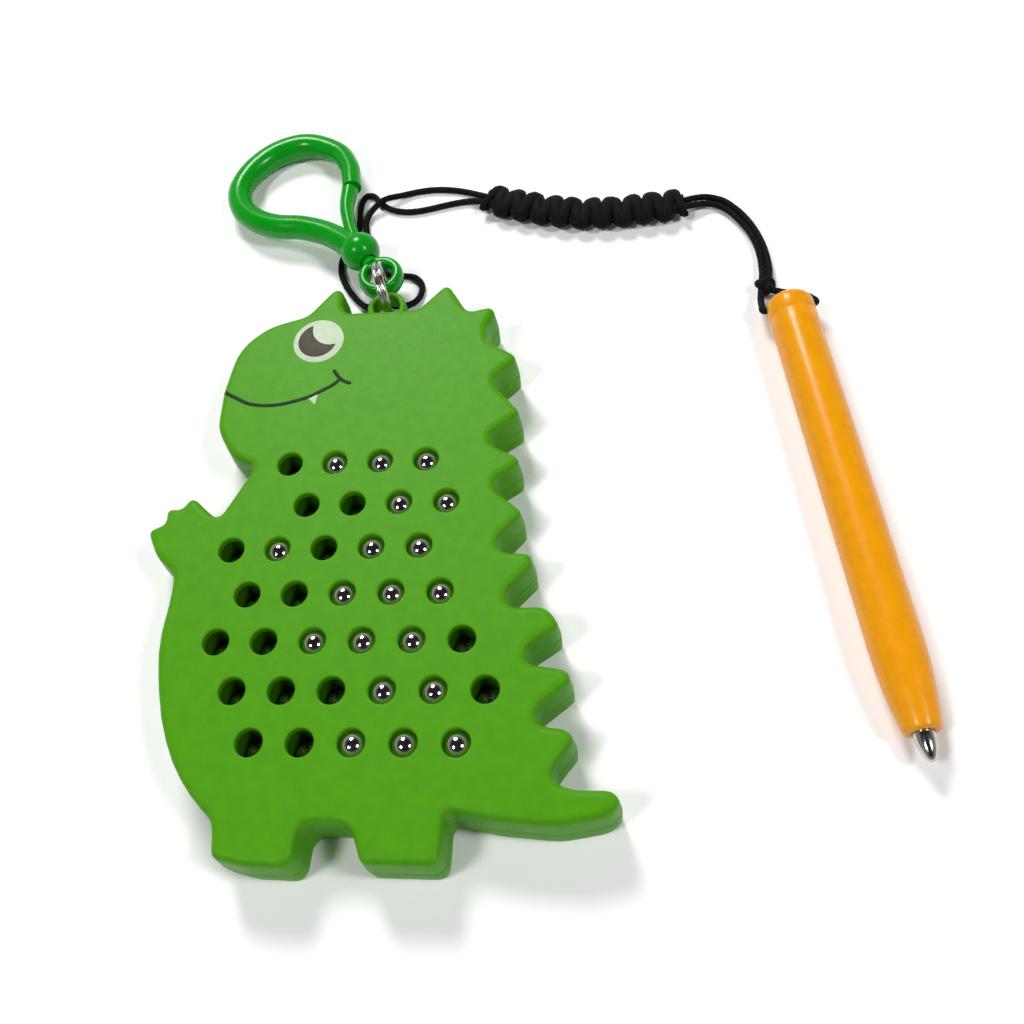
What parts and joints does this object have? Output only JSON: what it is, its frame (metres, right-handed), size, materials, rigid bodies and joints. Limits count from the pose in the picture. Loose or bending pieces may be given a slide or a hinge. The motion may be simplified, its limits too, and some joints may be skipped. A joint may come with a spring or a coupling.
{
  "type": "drawing board keychain",
  "caption": "Flat creature-shaped drawing board with windows over steel balls, a split ring and swivel clip at the head, and a magnetic pen on a braided cord.",
  "frame": {"origin": "centre of the ball grid, on the board's flat back face", "axes": "+Z out of the board's face, +Y towards the head and the clip, +X to the right seen from the face"},
  "size_m": [0.127, 0.1533, 0.0123],
  "materials": {
    "board_green": "satin moulded plastic",
    "clip_green": "glossy moulded plastic",
    "pen_yellow": "semi-gloss moulded plastic",
    "ball_steel": "polished steel",
    "ring_steel": "nickel-plated wire",
    "tip_steel": "polished metal",
    "magnet": "matt",
    "cord_black": "round braided cord"
  },
  "bodies": {
    "board": {"front_shell": "board_green", "back_shell": "board_green", "ball_guide": "board_green", "magnet_sheet": "magnet", "loop_cord_left": "cord_black", "loop_cord_right": "cord_black", "braid": "cord_black", "lead_cord_left": "cord_black", "lead_cord_right": "cord_black", "pen_knot": "cord_black"},
    "ring": {"split_ring": "ring_steel"},
    "eye": {"swivel_eye": "clip_green"},
    "clip": {"clip_hook": "clip_green"},
    "gate": {"clip_gate": "clip_green"},
    "pen": {"pen_barrel": "pen_yellow", "pen_cap": "pen_yellow", "pen_tip": "tip_steel", "pen_magnet": "magnet"},
    "ball_01_body": {"ball_01": "ball_steel"},
    "ball_02_body": {"ball_02": "ball_steel"},
    "ball_03_body": {"ball_03": "ball_steel"},
    "ball_04_body": {"ball_04": "ball_steel"},
    "ball_05_body": {"ball_05": "ball_steel"},
    "ball_06_body": {"ball_06": "ball_steel"},
    "ball_07_body": {"ball_07": "ball_steel"},
    "ball_08_body": {"ball_08": "ball_steel"},
    "ball_09_body": {"ball_09": "ball_steel"},
    "ball_10_body": {"ball_10": "ball_steel"},
    "ball_11_body": {"ball_11": "ball_steel"},
    "ball_12_body": {"ball_12": "ball_steel"},
    "ball_13_body": {"ball_13": "ball_steel"},
    "ball_14_body": {"ball_14": "ball_steel"},
    "ball_15_body": {"ball_15": "ball_steel"},
    "ball_16_body": {"ball_16": "ball_steel"},
    "ball_17_body": {"ball_17": "ball_steel"},
    "ball_18_body": {"ball_18": "ball_steel"},
    "ball_19_body": {"ball_19": "ball_steel"},
    "ball_20_body": {"ball_20": "ball_steel"},
    "ball_21_body": {"ball_21": "ball_steel"},
    "ball_22_body": {"ball_22": "ball_steel"},
    "ball_23_body": {"ball_23": "ball_steel"},
    "ball_24_body": {"ball_24": "ball_steel"},
    "ball_25_body": {"ball_25": "ball_steel"},
    "ball_26_body": {"ball_26": "ball_steel"},
    "ball_27_body": {"ball_27": "ball_steel"},
    "ball_28_body": {"ball_28": "ball_steel"},
    "ball_29_body": {"ball_29": "ball_steel"},
    "ball_30_body": {"ball_30": "ball_steel"},
    "ball_31_body": {"ball_31": "ball_steel"},
    "ball_32_body": {"ball_32": "ball_steel"},
    "ball_33_body": {"ball_33": "ball_steel"},
    "ball_34_body": {"ball_34": "ball_steel"},
    "ball_35_body": {"ball_35": "ball_steel"}
  },
  "joints": [
    {"name": "ring_swing", "type": "hinge", "parent": "board", "child": "ring", "pos_m": [0.0052, 0.06, 0.0054], "axis": [0, 0, 1], "range_deg": [-6, 15]},
    {"name": "eye_swing", "type": "hinge", "parent": "ring", "child": "eye", "pos_m": [0.003, 0.0685, 0.0055], "axis": [0, 0, 1], "range_deg": [-6, 20]},
    {"name": "clip_swivel", "type": "hinge", "parent": "eye", "child": "clip", "pos_m": [-0.0019, 0.0755, 0.0055], "axis": [-0.5725, 0.8176, -0.061], "range_deg": [-20, 5]},
    {"name": "gate_open", "type": "hinge", "parent": "clip", "child": "gate", "pos_m": [-0.00384, 0.07975, 0.00522], "axis": [-0.035, 0.05, 0.9981], "range_deg": [0, 18], "stiffness_Nm_per_rad": 0.06, "springref_deg": -2.86},
    {"name": "pen_lift", "type": "hinge", "parent": "board", "child": "pen", "pos_m": [0.07955, 0.05683, 0.00425], "axis": [-0.9884, -0.1521, 0], "range_deg": [0, 35]},
    {"name": "ball_01_slide", "type": "slide", "parent": "board", "child": "ball_01_body", "axis": [0, 0, 1], "range_m": [0, 0.00439]},
    {"name": "ball_02_slide", "type": "slide", "parent": "board", "child": "ball_02_body", "axis": [0, 0, 1], "range_m": [-0.00439, 0]},
    {"name": "ball_03_slide", "type": "slide", "parent": "board", "child": "ball_03_body", "axis": [0, 0, 1], "range_m": [-0.00439, 0]},
    {"name": "ball_04_slide", "type": "slide", "parent": "board", "child": "ball_04_body", "axis": [0, 0, 1], "range_m": [-0.00439, 0]},
    {"name": "ball_05_slide", "type": "slide", "parent": "board", "child": "ball_05_body", "axis": [0, 0, 1], "range_m": [0, 0.00439]},
    {"name": "ball_06_slide", "type": "slide", "parent": "board", "child": "ball_06_body", "axis": [0, 0, 1], "range_m": [0, 0.00439]},
    {"name": "ball_07_slide", "type": "slide", "parent": "board", "child": "ball_07_body", "axis": [0, 0, 1], "range_m": [-0.00439, 0]},
    {"name": "ball_08_slide", "type": "slide", "parent": "board", "child": "ball_08_body", "axis": [0, 0, 1], "range_m": [-0.00439, 0]},
    {"name": "ball_09_slide", "type": "slide", "parent": "board", "child": "ball_09_body", "axis": [0, 0, 1], "range_m": [0, 0.00439]},
    {"name": "ball_10_slide", "type": "slide", "parent": "board", "child": "ball_10_body", "axis": [0, 0, 1], "range_m": [-0.00439, 0]},
    {"name": "ball_11_slide", "type": "slide", "parent": "board", "child": "ball_11_body", "axis": [0, 0, 1], "range_m": [0, 0.00439]},
    {"name": "ball_12_slide", "type": "slide", "parent": "board", "child": "ball_12_body", "axis": [0, 0, 1], "range_m": [-0.00439, 0]},
    {"name": "ball_13_slide", "type": "slide", "parent": "board", "child": "ball_13_body", "axis": [0, 0, 1], "range_m": [-0.00439, 0]},
    {"name": "ball_14_slide", "type": "slide", "parent": "board", "child": "ball_14_body", "axis": [0, 0, 1], "range_m": [0, 0.00439]},
    {"name": "ball_15_slide", "type": "slide", "parent": "board", "child": "ball_15_body", "axis": [0, 0, 1], "range_m": [0, 0.00439]},
    {"name": "ball_16_slide", "type": "slide", "parent": "board", "child": "ball_16_body", "axis": [0, 0, 1], "range_m": [-0.00439, 0]},
    {"name": "ball_17_slide", "type": "slide", "parent": "board", "child": "ball_17_body", "axis": [0, 0, 1], "range_m": [-0.00439, 0]},
    {"name": "ball_18_slide", "type": "slide", "parent": "board", "child": "ball_18_body", "axis": [0, 0, 1], "range_m": [-0.00439, 0]},
    {"name": "ball_19_slide", "type": "slide", "parent": "board", "child": "ball_19_body", "axis": [0, 0, 1], "range_m": [0, 0.00439]},
    {"name": "ball_20_slide", "type": "slide", "parent": "board", "child": "ball_20_body", "axis": [0, 0, 1], "range_m": [0, 0.00439]},
    {"name": "ball_21_slide", "type": "slide", "parent": "board", "child": "ball_21_body", "axis": [0, 0, 1], "range_m": [-0.00439, 0]},
    {"name": "ball_22_slide", "type": "slide", "parent": "board", "child": "ball_22_body", "axis": [0, 0, 1], "range_m": [-0.00439, 0]},
    {"name": "ball_23_slide", "type": "slide", "parent": "board", "child": "ball_23_body", "axis": [0, 0, 1], "range_m": [-0.00439, 0]},
    {"name": "ball_24_slide", "type": "slide", "parent": "board", "child": "ball_24_body", "axis": [0, 0, 1], "range_m": [0, 0.00439]},
    {"name": "ball_25_slide", "type": "slide", "parent": "board", "child": "ball_25_body", "axis": [0, 0, 1], "range_m": [0, 0.00439]},
    {"name": "ball_26_slide", "type": "slide", "parent": "board", "child": "ball_26_body", "axis": [0, 0, 1], "range_m": [0, 0.00439]},
    {"name": "ball_27_slide", "type": "slide", "parent": "board", "child": "ball_27_body", "axis": [0, 0, 1], "range_m": [0, 0.00439]},
    {"name": "ball_28_slide", "type": "slide", "parent": "board", "child": "ball_28_body", "axis": [0, 0, 1], "range_m": [-0.00439, 0]},
    {"name": "ball_29_slide", "type": "slide", "parent": "board", "child": "ball_29_body", "axis": [0, 0, 1], "range_m": [-0.00439, 0]},
    {"name": "ball_30_slide", "type": "slide", "parent": "board", "child": "ball_30_body", "axis": [0, 0, 1], "range_m": [0, 0.00439]},
    {"name": "ball_31_slide", "type": "slide", "parent": "board", "child": "ball_31_body", "axis": [0, 0, 1], "range_m": [0, 0.00439]},
    {"name": "ball_32_slide", "type": "slide", "parent": "board", "child": "ball_32_body", "axis": [0, 0, 1], "range_m": [0, 0.00439]},
    {"name": "ball_33_slide", "type": "slide", "parent": "board", "child": "ball_33_body", "axis": [0, 0, 1], "range_m": [-0.00439, 0]},
    {"name": "ball_34_slide", "type": "slide", "parent": "board", "child": "ball_34_body", "axis": [0, 0, 1], "range_m": [-0.00439, 0]},
    {"name": "ball_35_slide", "type": "slide", "parent": "board", "child": "ball_35_body", "axis": [0, 0, 1], "range_m": [-0.00439, 0]}
  ]
}
